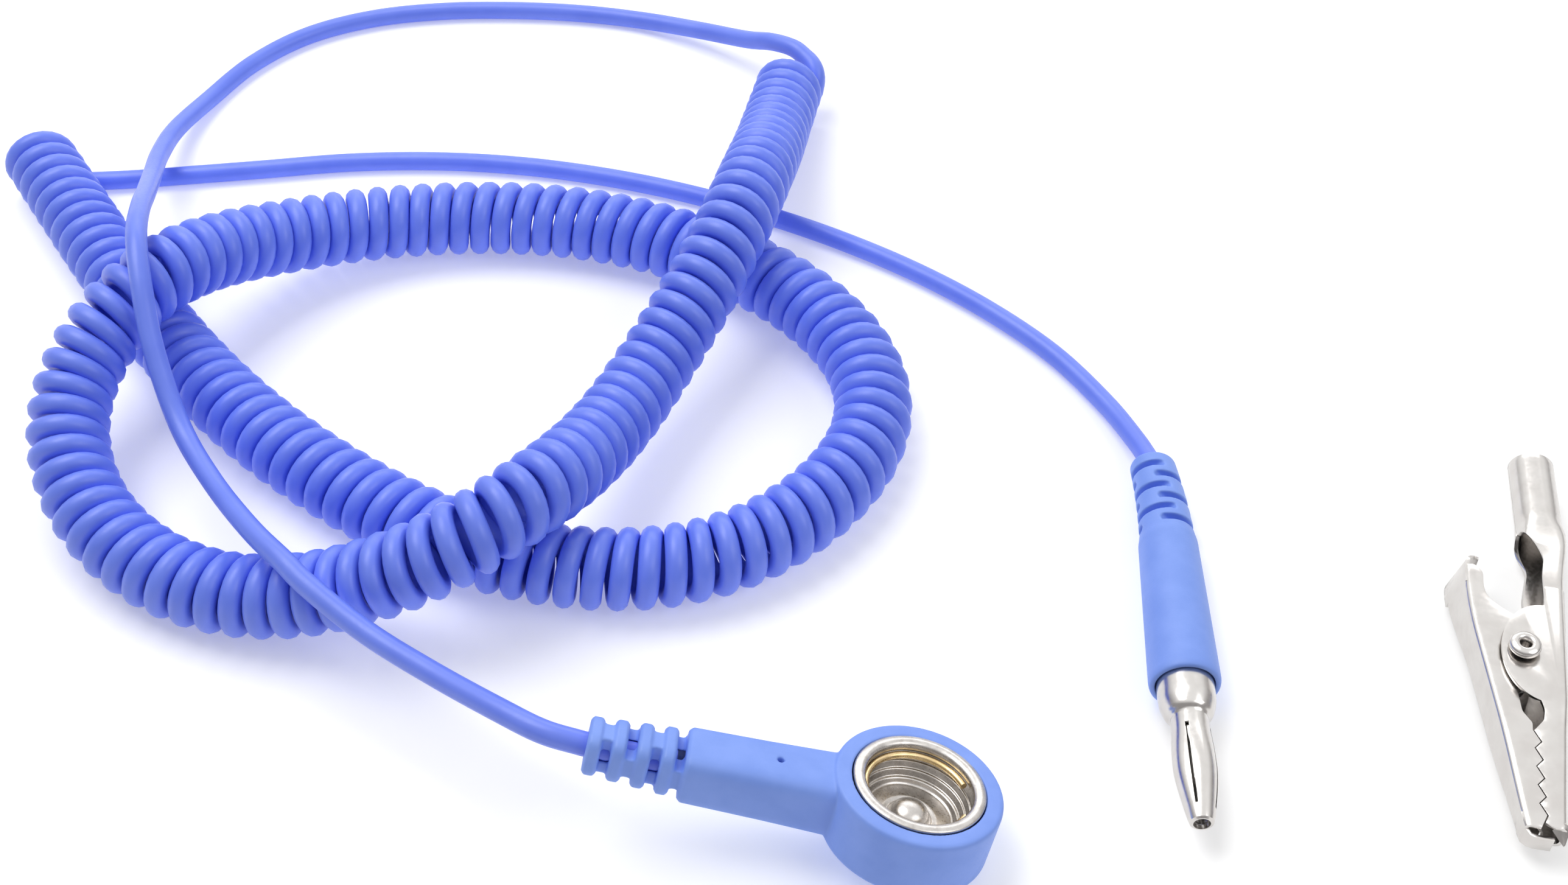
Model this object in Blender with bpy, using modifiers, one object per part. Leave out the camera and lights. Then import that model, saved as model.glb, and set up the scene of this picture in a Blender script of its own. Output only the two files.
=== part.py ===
"""Grounding lead of an ESD wrist strap: a snap end, a coiled cord, a banana plug and a crocodile clip.

The lead lies on a table, which is z = 0. +X runs to the right, +Y to the back and +Z up.
The origin is on the table, at the middle of the snap end and the clip together.
"""

import math

import bmesh
import bpy
from mathutils import Matrix, Vector

MM = 0.001  # sizes and places are in millimetres unless a comment says otherwise

# The snap end's frame: origin at the centre of the head's underside, +X away from the cord.
SNAP_AT = Vector((-22.6, -20.6, 2.62)) * MM
SNAP_TURN = tuple(math.radians(a) for a in (-14.0, 12.0, -5.5))
HEAD_RADIUS = 8.7
HEAD_HEIGHT = 7.0
POCKET_RADIUS = 6.9
POCKET_FLOOR = 0.6
ARM_END_X = -23.2
ARM_CENTRE_Z = 3.4
RELIEF_END_X = -33.0
RIB_COUNT = 4
RIB_LENGTH = 1.45
RIB_PITCH = 2.45
WIRING_Z = 3.25

# The plug's frame: origin at the cord's end of the boot, +X towards the tip.
PLUG_AT = Vector((9.1, 29.2, 2.92)) * MM
PLUG_TURN = tuple(math.radians(a) for a in (0.0, -1.99, -92.1))
SLOT_STATIONS = 6
SLOT_FIRST_X = 1.9
SLOT_PITCH = 1.75
SLOT_WIDTH = 0.85
SLOT_DEPTH = 3.0
SLOT_FLOOR = 1.45  # distance from the boot's axis

# The clip's frame: origin at the nose, +Y towards the barrel, +X towards the barrel jaw's back.
CLIP_AT = Vector((43.0, -23.0, 0.6)) * MM
CLIP_TURN = math.radians(-12.0)
SHEET = 0.4
JAW_HEIGHT = 6.6
JAW_NOSE_Y = 0.8
LEVER_LOW = 0.7
LEVER_HIGH = 5.9
NECK_LOW = 0.8
NECK_HIGH = 5.8
RIVET_X, RIVET_Y = -4.15, 21.9
RIVET_HOLE_RADIUS = 1.25
TOOTH_PITCH = 2.1
TOOTH_COUNT = 5
TOOTH_DEPTH = 0.7
TOOTH_LEAN = 0.07  # how far the row of teeth moves from the spine per millimetre
BARREL_X = -1.55
BARREL_START_Y = 40.5
BARREL_END_Y = 51.7
BARREL_RADIUS = 2.5
BARREL_BORE_RADIUS = 2.1

# The cord. Its coiled stretch is one tube of the coil's outer diameter.
CORD_RADIUS = 1.25
COIL_RADIUS = 4.7
LEAD_WIRE_RADIUS = 0.28
CONDUCTOR_RADIUS = 0.36

# Centreline of the coil in metres, from the snap's end of it to the plug's end.
COIL_ROUTE = [
    (-0.0335, 0.0995, 0.0047), (-0.0354, 0.0889, 0.0062), (-0.0366, 0.0789, 0.0096),
    (-0.0381, 0.0691, 0.0133), (-0.0404, 0.0590, 0.0146), (-0.0445, 0.0491, 0.0124),
    (-0.0494, 0.0399, 0.0097), (-0.0536, 0.0308, 0.0093), (-0.0576, 0.0218, 0.0117),
    (-0.0627, 0.0132, 0.0148), (-0.0699, 0.0081, 0.0131), (-0.0793, 0.0070, 0.0088),
    (-0.0897, 0.0073, 0.0056), (-0.1002, 0.0098, 0.0048), (-0.1092, 0.0157, 0.0053),
    (-0.1151, 0.0236, 0.0070), (-0.1172, 0.0329, 0.0096), (-0.1150, 0.0402, 0.0124),
    (-0.1112, 0.0461, 0.0148), (-0.1080, 0.0512, 0.0141), (-0.1040, 0.0577, 0.0112),
    (-0.0972, 0.0641, 0.0077), (-0.0880, 0.0689, 0.0055), (-0.0776, 0.0710, 0.0047),
    (-0.0669, 0.0709, 0.0047), (-0.0562, 0.0690, 0.0047), (-0.0459, 0.0650, 0.0047),
    (-0.0364, 0.0593, 0.0047), (-0.0288, 0.0515, 0.0047), (-0.0242, 0.0425, 0.0047),
    (-0.0241, 0.0328, 0.0047), (-0.0292, 0.0233, 0.0047), (-0.0377, 0.0159, 0.0047),
    (-0.0474, 0.0124, 0.0047), (-0.0576, 0.0123, 0.0047), (-0.0679, 0.0148, 0.0047),
    (-0.0779, 0.0197, 0.0047), (-0.0872, 0.0260, 0.0047), (-0.0955, 0.0329, 0.0047),
    (-0.1029, 0.0404, 0.0047), (-0.1096, 0.0484, 0.0047), (-0.1159, 0.0569, 0.0047),
    (-0.1219, 0.0656, 0.0047), (-0.1279, 0.0746, 0.0047), (-0.1338, 0.0835, 0.0047),
]

# Centreline in metres of the straight stretch between the snap's strain relief and the coil.
SNAP_TAIL_ROUTE = [
    (-0.0543, -0.0167, 0.0128), (-0.0582, -0.0158, 0.0135), (-0.0626, -0.0131, 0.0132),
    (-0.0702, -0.0073, 0.0116), (-0.0778, -0.0017, 0.0112), (-0.0844, 0.0034, 0.0125),
    (-0.0875, 0.0065, 0.0130), (-0.0920, 0.0117, 0.0121), (-0.0980, 0.0204, 0.0099),
    (-0.1033, 0.0289, 0.0102), (-0.1068, 0.0365, 0.0152), (-0.1086, 0.0430, 0.0197),
    (-0.1100, 0.0490, 0.0212), (-0.1115, 0.0560, 0.0191), (-0.1133, 0.0640, 0.0149),
    (-0.1154, 0.0730, 0.0101), (-0.1170, 0.0820, 0.0063), (-0.1172, 0.0910, 0.0033),
    (-0.1147, 0.0998, 0.0015), (-0.1100, 0.1083, 0.0013), (-0.1032, 0.1149, 0.0013),
    (-0.0943, 0.1190, 0.0013), (-0.0842, 0.1208, 0.0013), (-0.0738, 0.1210, 0.0013),
    (-0.0638, 0.1202, 0.0013), (-0.0548, 0.1182, 0.0015), (-0.0468, 0.1143, 0.0027),
    (-0.0398, 0.1092, 0.0048), (-0.0362, 0.1062, 0.0066), (-0.0332, 0.1038, 0.0073),
    (-0.0314, 0.1020, 0.0069), (-0.0309, 0.1005, 0.0060),
]

# Centreline in metres of the straight stretch between the coil and the plug's boot.
PLUG_TAIL_ROUTE = [
    (-0.1278, 0.0824, 0.0013), (-0.1220, 0.0828, 0.0013), (-0.1142, 0.0837, 0.0013),
    (-0.1045, 0.0849, 0.0013), (-0.0933, 0.0863, 0.0013), (-0.0819, 0.0866, 0.0013),
    (-0.0707, 0.0857, 0.0013), (-0.0597, 0.0836, 0.0013), (-0.0488, 0.0804, 0.0013),
    (-0.0381, 0.0761, 0.0013), (-0.0278, 0.0709, 0.0013), (-0.0181, 0.0648, 0.0013),
    (-0.0092, 0.0577, 0.0013), (-0.0014, 0.0496, 0.0013), (0.0042, 0.0410, 0.0014),
    (0.0071, 0.0340, 0.0022), (0.0083, 0.0298, 0.00291),
]


# ---------------------------------------------------------------- scene and materials


def clear_scene():
    for obj in list(bpy.data.objects):
        bpy.data.objects.remove(obj)


def new_collection(name):
    collection = bpy.data.collections.new(name)
    bpy.context.scene.collection.children.link(collection)
    return collection


def new_material(name, colour, roughness, metallic=0.0):
    material = bpy.data.materials.new(name)
    material.use_nodes = True
    shader = material.node_tree.nodes["Principled BSDF"]
    shader.inputs["Base Color"].default_value = (*colour, 1.0)
    shader.inputs["Roughness"].default_value = roughness
    shader.inputs["Metallic"].default_value = metallic
    material.diffuse_color = (*colour, 1.0)
    return material


def place(name, data, material=None, parent=None, at=(0, 0, 0), turn=(0, 0, 0)):
    """A new object in the lead's collection, under the given empty."""
    obj = bpy.data.objects.new(name, data)
    LEAD.objects.link(obj)
    obj.parent = parent
    obj.location = at
    obj.rotation_euler = turn
    if material is not None:
        data.materials.append(material)
    return obj


def frame(name, at, turn, parent=None):
    return place(name, None, None, parent, at, turn)


def helper(obj):
    """Moves an object to the helpers: it shapes another object and isn't a piece."""
    LEAD.objects.unlink(obj)
    HELPERS.objects.link(obj)
    obj.hide_render = True
    obj.display_type = "WIRE"
    return obj


def boolean(target, other, operation):
    modifier = target.modifiers.new(other.name, "BOOLEAN")
    modifier.operation = operation
    modifier.object = helper(other)


def join(target, *others):
    for other in others:
        boolean(target, other, "UNION")


def cut(target, *others):
    for other in others:
        boolean(target, other, "DIFFERENCE")


# ---------------------------------------------------------------- shapes

ALONG_X = (0.0, math.radians(90.0), 0.0)  # turns a piece made about Z so that it lies along +X


def turned(name, outline_mm, material, parent, at_mm=(0, 0, 0), turn=(0, 0, 0), ring=False, steps=40):
    """A turned piece. The outline is (radius, height) down the outer side; a ring's outline is closed."""
    mesh = bpy.data.meshes.new(name)
    points = [(radius * MM, 0.0, height * MM) for radius, height in outline_mm]
    edges = [(i, i + 1) for i in range(len(points) - 1)]
    if ring:
        edges.append((len(points) - 1, 0))
    mesh.from_pydata(points, edges, [])
    obj = place(name, mesh, material, parent, Vector(at_mm) * MM, turn)
    screw = obj.modifiers.new("turn", "SCREW")
    screw.steps = steps
    screw.render_steps = steps
    screw.use_merge_vertices = True
    screw.merge_threshold = 0.00001
    screw.use_smooth_shade = True
    return obj


def cylinder(name, radius_mm, length_mm, parent, at_mm, turn=(0, 0, 0), segments=24):
    mesh = bpy.data.meshes.new(name)
    bm = bmesh.new()
    radius = radius_mm * MM
    bmesh.ops.create_cone(
        bm, cap_ends=True, segments=segments, radius1=radius, radius2=radius, depth=length_mm * MM
    )
    bm.to_mesh(mesh)
    bm.free()
    return place(name, mesh, None, parent, Vector(at_mm) * MM, turn)


def block(name, low_mm, high_mm, parent, material=None, round_mm=0.0, far_scale=1.0):
    """A box between two corners. Its four edges along X can be rounded, and its high-X end scaled."""
    low = Vector(low_mm) * MM
    high = Vector(high_mm) * MM
    size = high - low
    mesh = bpy.data.meshes.new(name)
    bm = bmesh.new()
    bmesh.ops.create_cube(bm, size=1.0, matrix=Matrix.Diagonal((*size, 1.0)))
    for vertex in bm.verts:
        if vertex.co.x > 0.0:
            vertex.co.y *= far_scale
            vertex.co.z *= far_scale
    if round_mm:
        long_edges = [e for e in bm.edges if (e.verts[0].co.x > 0.0) != (e.verts[1].co.x > 0.0)]
        bmesh.ops.bevel(
            bm, geom=long_edges, offset=round_mm * MM, segments=3, profile=0.5, affect="EDGES"
        )
    bm.to_mesh(mesh)
    bm.free()
    return place(name, mesh, material, parent, (low + high) / 2)


def mesh_of_curve(curve_object):
    """Replaces a curve object by the mesh of its shape, with its caps welded on."""
    graph = bpy.context.evaluated_depsgraph_get()
    mesh = bpy.data.meshes.new_from_object(curve_object.evaluated_get(graph))
    bm = bmesh.new()
    bm.from_mesh(mesh)
    bmesh.ops.remove_doubles(bm, verts=bm.verts, dist=0.000001)
    bm.to_mesh(mesh)
    bm.free()
    name = curve_object.name
    made = bpy.data.objects.new(name + "_mesh", mesh)
    LEAD.objects.link(made)
    made.parent = curve_object.parent
    made.location = curve_object.location
    made.rotation_euler = curve_object.rotation_euler
    bpy.data.objects.remove(curve_object)
    made.name = name
    return made


def plate(name, outlines_mm, low_mm, high_mm, parent, material=None):
    """A flat plate between two heights. Outlines after the first are holes in it."""
    curve = bpy.data.curves.new(name, "CURVE")
    curve.dimensions = "2D"
    curve.fill_mode = "BOTH"
    curve.extrude = (high_mm - low_mm) / 2 * MM
    for outline in outlines_mm:
        spline = curve.splines.new("POLY")
        spline.points.add(len(outline) - 1)
        for point, (x, y) in zip(spline.points, outline):
            point.co = (x * MM, y * MM, 0.0, 1.0)
        spline.use_cyclic_u = True
    return mesh_of_curve(
        place(name, curve, material, parent, (0, 0, (low_mm + high_mm) / 2 * MM))
    )


def arc(centre, radius_x, radius_y, start_deg, end_deg, steps):
    points = []
    for i in range(steps + 1):
        angle = math.radians(start_deg + (end_deg - start_deg) * i / steps)
        x = centre[0] + radius_x * math.cos(angle)
        y = centre[1] + radius_y * math.sin(angle)
        points.append((x, y))
    return points


def wire(name, points, radius_mm, material, parent=None, resolution=2):
    """A round wire or tube through the points, which are in metres, with closed ends."""
    curve = bpy.data.curves.new(name, "CURVE")
    curve.dimensions = "3D"
    curve.bevel_depth = radius_mm * MM
    curve.bevel_resolution = resolution
    curve.use_fill_caps = True
    spline = curve.splines.new("POLY")
    spline.points.add(len(points) - 1)
    for point, place_at in zip(spline.points, points):
        point.co = (*place_at, 1.0)
    return place(name, curve, material, parent)


def smooth_points(route, spacing_mm):
    """Points at about the given spacing on a smooth curve through the route's points, in metres."""
    spacing = spacing_mm * MM
    knots = [Vector(p) for p in route]
    knots = [2 * knots[0] - knots[1], *knots, 2 * knots[-1] - knots[-2]]
    fine = []
    for before, start, end, after in zip(knots, knots[1:], knots[2:], knots[3:]):
        for i in range(12):
            t = i / 12
            fine.append(
                0.5
                * (
                    2 * start
                    + (end - before) * t
                    + (2 * before - 5 * start + 4 * end - after) * t**2
                    + (3 * start - before - 3 * end + after) * t**3
                )
            )
    fine.append(knots[-2])
    length = sum((b - a).length for a, b in zip(fine, fine[1:]))
    step = length / round(length / spacing)
    points = [fine[0]]
    travelled = 0.0
    for a, b in zip(fine, fine[1:]):
        travelled += (b - a).length
        if travelled >= step * len(points) - spacing / 24:
            points.append(b)
    points[-1] = fine[-1]
    return points


# ---------------------------------------------------------------- snap end


def strain_relief(parent):
    """Four ribs on a core. The bars between them alternate between upright and level."""
    centre = ARM_CENTRE_Z
    made = [block("relief_core", (RELIEF_END_X, -1.7, 1.75), (-22.5, 1.7, 5.05), parent)]
    for i in range(RIB_COUNT):
        start = RELIEF_END_X + i * RIB_PITCH
        end = start + RIB_LENGTH
        half = 2.5 + 0.13 * i
        low = (start, -half, centre - half)
        made.append(block(f"relief_rib_{i}", low, (end, half, centre + half), parent, round_mm=1.3))
        wide, tall = (1.1, half - 0.35) if i % 2 == 0 else (half - 0.35, 1.1)
        low = (end - 0.3, -wide, centre - tall)
        high = (end + 1.3, wide, centre + tall)
        made.append(block(f"relief_bar_{i}", low, high, parent))
    return made


def snap_overmould(parent):
    radius, height = HEAD_RADIUS, HEAD_HEIGHT
    outline = [
        (0.0, height), (radius - 0.5, height), (radius - 0.15, height - 0.15),
        (radius, height - 0.5), (radius, 0.5), (radius - 0.15, 0.15), (radius - 0.5, 0.0), (0.0, 0.0),
    ]
    head = turned("snap_overmould", outline, OVERMOULD, parent, steps=56)
    arm = block(
        "snap_arm", (ARM_END_X, -3.2, 0.4), (-6.0, 3.2, 6.4), parent, round_mm=2.0, far_scale=1.1
    )
    join(head, arm, *strain_relief(parent))
    cut(
        head,
        cylinder("snap_pocket", POCKET_RADIUS, 8.0, parent, (0, 0, POCKET_FLOOR + 4.0), segments=56),
        block("snap_channel", (-22.0, -1.9, 1.2), (-6.0, 1.9, 5.3), parent),
        cylinder("snap_bore", 1.0, 13.0, parent, (-27.5, 0, WIRING_Z), ALONG_X, 16),
        cylinder("snap_pinhole", 0.35, 3.0, parent, (-14.0, 0, 6.0), segments=12),
    )


def snap_socket(parent):
    cup = [
        (6.80, 6.75), (6.72, 6.35), (6.45, 6.15), (6.30, 5.90), (6.30, 2.70), (5.90, 2.20),
        (0.95, 2.20), (0.95, 2.60), (5.70, 2.60), (5.90, 2.85), (5.90, 5.95), (5.60, 6.20),
        (5.50, 6.50), (5.55, 6.90), (5.80, 7.20), (6.15, 7.30), (6.50, 7.20), (6.72, 7.00),
    ]
    turned("snap_socket_cup", cup, NICKEL, parent, ring=True, steps=36)
    ring = [Vector((x, y, 5.6)) * MM for x, y in arc((0, 0), 5.35, 5.35, 25, 335, 24)]
    wire("snap_ring_spring", ring, 0.32, BRASS, parent)
    rivet = [
        (0.0, 4.20), (0.80, 4.08), (1.45, 3.80), (1.90, 3.30), (2.0, 2.90), (0.65, 2.90),
        (0.65, 1.20), (1.40, 1.20), (1.40, 0.90), (0.0, 0.90),
    ]
    turned("snap_rivet", rivet, NICKEL, parent, steps=24)


def snap_wiring(parent):
    lug = [*arc((0, 0), 2.6, 2.6, -159.7, 159.7, 24), (-9.2, 0.9), (-9.2, -0.9)]
    plate("snap_terminal_lug", [lug, arc((0, 0), 0.95, 0.95, 0, 345, 23)], 1.5, 1.9, parent, TINNED)
    resistor = [
        (0.0, 6.0), (0.95, 6.0), (1.15, 5.7), (1.15, 4.6), (0.98, 4.2),
        (0.98, 1.8), (1.15, 1.4), (1.15, 0.3), (0.95, 0.0), (0.0, 0.0),
    ]
    turned("safety_resistor", resistor, RESISTOR, parent, (-17.2, 0, WIRING_Z), ALONG_X, steps=20)
    bent = [(-10.9, 3.25), (-10.4, 3.22), (-9.9, 2.98), (-9.5, 2.66), (-9.0, 2.5), (-7.7, 2.5)]
    front = [Vector((x, 0, z)) * MM for x, z in bent]
    wire("resistor_lead_front", front, LEAD_WIRE_RADIUS, TINNED, parent)
    rear = [Vector((x, 0, WIRING_Z)) * MM for x in (-19.6, -17.5)]
    wire("resistor_lead_rear", rear, LEAD_WIRE_RADIUS, TINNED, parent)
    sleeve = [(1.0, 3.0), (1.0, 0.0), (0.68, 0.0), (0.68, 3.0)]
    turned("crimp_sleeve", sleeve, TINNED, parent, (-21.6, 0, WIRING_Z), ALONG_X, ring=True, steps=16)
    core = [Vector((x, 0, WIRING_Z)) * MM for x in (-32.7, -20.0)]
    wire("conductor_end_snap", core, CONDUCTOR_RADIUS, COPPER, parent)


# ---------------------------------------------------------------- plug


def boot_slots(parent):
    """Pairs of opposite slots along the boot, each pair a quarter turn from the last."""
    mesh = bpy.data.meshes.new("boot_slots")
    bm = bmesh.new()
    out = SLOT_FLOOR + SLOT_DEPTH / 2
    for station in range(SLOT_STATIONS):
        for side in range(2):
            angle = math.radians(45.0 + 90.0 * station + 180.0 * side)
            matrix = (
                Matrix.Scale(MM, 4)
                @ Matrix.Translation((SLOT_FIRST_X + SLOT_PITCH * station, 0, 0))
                @ Matrix.Rotation(angle, 4, "X")
                @ Matrix.Translation((0, 0, out))
                @ Matrix.Diagonal((SLOT_WIDTH, 2 * SLOT_DEPTH, SLOT_DEPTH, 1.0))
            )
            bmesh.ops.create_cube(bm, size=1.0, matrix=matrix)
    bm.to_mesh(mesh)
    bm.free()
    return place("boot_slots", mesh, None, parent)


def plug(parent):
    outline = [
        (0.0, 32.6), (3.55, 32.6), (3.80, 32.35), (3.86, 32.0), (3.33, 12.3), (3.25, 11.75),
        (3.12, 11.4), (2.85, 0.4), (2.70, 0.1), (2.40, 0.0), (0.0, 0.0),
    ]
    overmould = turned("plug_overmould", outline, OVERMOULD, parent, turn=ALONG_X, steps=40)
    bore = [
        (0.0, 34.0), (3.40, 34.0), (3.40, 31.1), (2.25, 31.1), (2.25, 18.0), (0.95, 18.0),
        (0.95, -1.0), (0.0, -1.0),
    ]
    cut(overmould, turned("plug_bore", bore, None, parent, turn=ALONG_X, steps=32), boot_slots(parent))

    pin = [
        (0.0, 48.3), (0.45, 48.3), (0.60, 48.1), (0.60, 45.6), (1.0, 44.8), (1.0, 40.5),
        (1.45, 39.8), (1.45, 36.7), (2.00, 36.7), (2.10, 36.2), (2.75, 36.2), (3.07, 35.3),
        (3.07, 31.5), (1.90, 31.5), (1.90, 20.5), (0.75, 20.5), (0.75, 24.5), (0.0, 24.5),
    ]
    turned("plug_pin_body", pin, NICKEL, parent, turn=ALONG_X, steps=24)

    outer = [
        (1.0, 50.0), (1.22, 49.8), (1.30, 49.3), (1.75, 47.5), (2.20, 45.2), (2.40, 43.2),
        (2.35, 41.2), (2.15, 39.2), (2.06, 38.2), (2.06, 37.0),
    ]
    inner = [
        (1.78, 37.0), (1.78, 38.3), (1.87, 39.2), (2.07, 41.2), (2.12, 43.2), (1.92, 45.1),
        (1.47, 47.3), (1.02, 49.1), (0.88, 49.4), (0.88, 50.0),
    ]
    cage = turned("plug_spring_cage", outer + inner, NICKEL, parent, turn=ALONG_X, ring=True, steps=24)
    for i, half in enumerate(((0.2, 4.0), (4.0, 0.2))):
        low = (38.9, -half[0], -half[1])
        cut(cage, block(f"cage_slit_{i}", low, (48.2, half[0], half[1]), parent))

    core = [Vector((x, 0, 0)) * MM for x in (0.3, 24.1)]
    wire("conductor_end_plug", core, CONDUCTOR_RADIUS, COPPER, parent)


# ---------------------------------------------------------------- clip


def teeth(edge_x, first_y):
    """A zigzag edge towards the nose, from the last tooth to the first. It leans away from the spine."""
    points = []
    for i in range(TOOTH_COUNT, 0, -1):
        valley = TOOTH_PITCH * i
        tip = TOOTH_PITCH * (i - 0.6)
        points.append((edge_x - TOOTH_DEPTH / 2 - TOOTH_LEAN * valley, first_y + valley))
        points.append((edge_x + TOOTH_DEPTH / 2 - TOOTH_LEAN * tip, first_y + tip))
    points.append((edge_x, first_y))
    return points


def rivet_hole(x, y):
    return arc((x, y), RIVET_HOLE_RADIUS, RIVET_HOLE_RADIUS, 0, 345, 23)


def barrel_jaw(parent):
    """A channel with ears outside the lever's flanges, a narrower neck and a rolled barrel."""
    ear = arc((-1.9, RIVET_Y), 4.5, 6.4, 90, 270, 16)
    flange = [
        (0.5, JAW_NOSE_Y), (0.5, 31.0), (-1.7, 31.0), *ear, (-2.15, 13.4), *teeth(-2.05, 1.2),
        (-1.5, JAW_NOSE_Y),
    ]
    outlines = [flange, rivet_hole(RIVET_X, RIVET_Y)]
    top, inside = JAW_HEIGHT, JAW_HEIGHT - SHEET
    jaw = block("clip_barrel_jaw", (0.1, JAW_NOSE_Y, 0.0), (0.5, 31.0, top), parent, NICKEL)
    barrel = turned(
        "barrel", [(0.0, BARREL_END_Y), (BARREL_RADIUS, BARREL_END_Y), (BARREL_RADIUS, BARREL_START_Y),
                   (0.0, BARREL_START_Y)],
        None, parent, (BARREL_X, 0, JAW_HEIGHT / 2), (math.radians(-90.0), 0, 0), steps=32,
    )
    join(
        jaw,
        plate("jaw_flange_low", outlines, 0.0, SHEET, parent),
        plate("jaw_flange_high", outlines, inside, top, parent),
        block("jaw_nose", (-1.3, JAW_NOSE_Y, 0.1), (0.4, JAW_NOSE_Y + SHEET, top - 0.1), parent),
        block("jaw_step_low", (-1.6, 30.6, 0.1), (0.4, 31.0, NECK_LOW + 0.3), parent),
        block("jaw_step_high", (-1.6, 30.6, NECK_HIGH - 0.3), (0.4, 31.0, top - 0.1), parent),
        block("neck_back", (0.1, 30.8, NECK_LOW), (0.5, 42.0, NECK_HIGH), parent),
        block("neck_low", (-1.9, 30.7, NECK_LOW), (0.4, 42.0, NECK_LOW + SHEET), parent),
        block("neck_high", (-1.9, 30.7, NECK_HIGH - SHEET), (0.4, 42.0, NECK_HIGH), parent),
        barrel,
    )
    bore_at = (BARREL_X, 47.0, JAW_HEIGHT / 2)
    cut(jaw, cylinder("barrel_bore", BARREL_BORE_RADIUS, 14.0, parent, bore_at, (math.radians(90.0), 0, 0)))


def lever_back(y):
    """X of the lever's back. It slants away from the spine and turns along it at the thumb end."""
    return -4.1 - 0.2116 * (y - 0.9) + 0.0099 * max(0.0, y - 23.0) ** 2


def lever_jaw(parent):
    """A channel between the ears, from its nose to the thumb end. Its frame is on the rivet's axis."""
    low, high = LEVER_LOW, LEVER_HIGH

    def at_pivot(points):
        return [(x - RIVET_X, y - RIVET_Y) for x, y in points]

    back = [(lever_back(y), y) for y in (0.9, 23.0, 26.0, 29.0, 32.0, 33.5)]
    front = [(x + SHEET, y) for x, y in reversed(back)]
    inner_back = [(x + SHEET / 2, y + 0.02) for x, y in back]
    flange = [
        *inner_back, (-9.1, 34.7), (-8.5, 34.8), (-8.1, 33.8), (-8.0, 30.0), (-7.4, 28.7),
        (-5.5, 27.3), (-3.4, 26.3), (-2.3, 24.5), (-2.0, 21.9), (-2.6, 18.5), (-4.7, 16.6),
        (-4.3, 14.2), (-3.3, 12.9), *teeth(-2.4, 1.2)[1:], (-2.4, 0.92),
    ]
    outlines = [at_pivot(flange), at_pivot(rivet_hole(RIVET_X, RIVET_Y))]
    web = [*back, (-9.3, 34.8), (-9.0, 34.6), *front]
    nose = [(-3.9, 0.94), (-3.9, 1.34), (-2.5, 1.34), (-2.5, 0.94)]
    jaw = plate("clip_lever_jaw", [at_pivot(web)], low + 0.03, high - 0.03, parent, NICKEL)
    join(
        jaw,
        plate("lever_flange_low", outlines, low, low + SHEET, parent),
        plate("lever_flange_high", outlines, high - SHEET, high, parent),
        plate("lever_nose", [at_pivot(nose)], low + 0.1, high - 0.1, parent),
    )


def clip_rivet(parent):
    rivet = [
        (0.0, 6.70), (0.45, 6.75), (0.60, 7.20), (0.95, 7.55), (1.30, 7.45), (1.55, 7.20),
        (1.52, 6.95), (0.95, 6.90), (0.95, -0.30), (1.55, -0.30), (1.50, -0.50), (1.20, -0.55),
        (0.0, -0.55),
    ]
    turned("clip_rivet", rivet, NICKEL, parent, steps=24)


def clip_spring(parent):
    """A torsion spring round the rivet: one leg on each jaw's back, between barrel and thumb end."""
    radius, low, high, turns, per_turn = 1.75, 1.75, 4.85, 3.5, 10
    points = [(3.6, 8.6, low)]
    count = int(turns * per_turn)
    for i in range(count + 1):
        angle = -2 * math.pi * turns * i / count
        height = low + (high - low) * i / count
        points.append((radius * math.cos(angle), radius * math.sin(angle), height))
    points.append((-4.0, 8.6, high))
    wire("clip_spring", [Vector(p) * MM for p in points], 0.28, STEEL, parent)


# ---------------------------------------------------------------- cord


def cord():
    wire("cord_coil", smooth_points(COIL_ROUTE, 9.0), COIL_RADIUS, CORD, resolution=4)
    wire("cord_tail_snap", smooth_points(SNAP_TAIL_ROUTE, 5.6), CORD_RADIUS, CORD)
    wire("cord_tail_plug", smooth_points(PLUG_TAIL_ROUTE, 6.0), CORD_RADIUS, CORD)


clear_scene()
LEAD = new_collection("esd_grounding_lead")
HELPERS = new_collection("helpers")

OVERMOULD = new_material("overmould_pvc", (0.24, 0.37, 0.90), 0.55)
CORD = new_material("cord_polyurethane", (0.14, 0.20, 0.92), 0.38)
NICKEL = new_material("nickel_plate", (0.72, 0.69, 0.66), 0.22, 1.0)
STEEL = new_material("spring_steel", (0.45, 0.45, 0.46), 0.35, 1.0)
BRASS = new_material("brass", (0.72, 0.55, 0.28), 0.30, 1.0)
TINNED = new_material("tinned_copper", (0.62, 0.60, 0.58), 0.40, 1.0)
COPPER = new_material("copper", (0.78, 0.40, 0.25), 0.40, 1.0)
RESISTOR = new_material("resistor_enamel", (0.45, 0.62, 0.75), 0.45)

snap_frame = frame("snap_frame", SNAP_AT, SNAP_TURN)
snap_overmould(snap_frame)
snap_socket(snap_frame)
snap_wiring(snap_frame)

plug(frame("plug_frame", PLUG_AT, PLUG_TURN))

clip_frame = frame("clip_frame", CLIP_AT, (0, 0, CLIP_TURN))
rivet_axis = frame("rivet_axis", Vector((RIVET_X, RIVET_Y, 0.0)) * MM, (0, 0, 0), clip_frame)
barrel_jaw(clip_frame)
lever_jaw(rivet_axis)
clip_rivet(rivet_axis)
clip_spring(rivet_axis)

cord()
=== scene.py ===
"""Looks of the ESD grounding lead: snap end, coiled cord, banana plug and crocodile clip.

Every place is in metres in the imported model's frame: the table is z = 0, +X runs to the right
and +Y to the back. The three rigid pieces have the same local frames as in the CAD.
"""

import math

import bmesh
import bpy
from mathutils import Matrix, Vector


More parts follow.
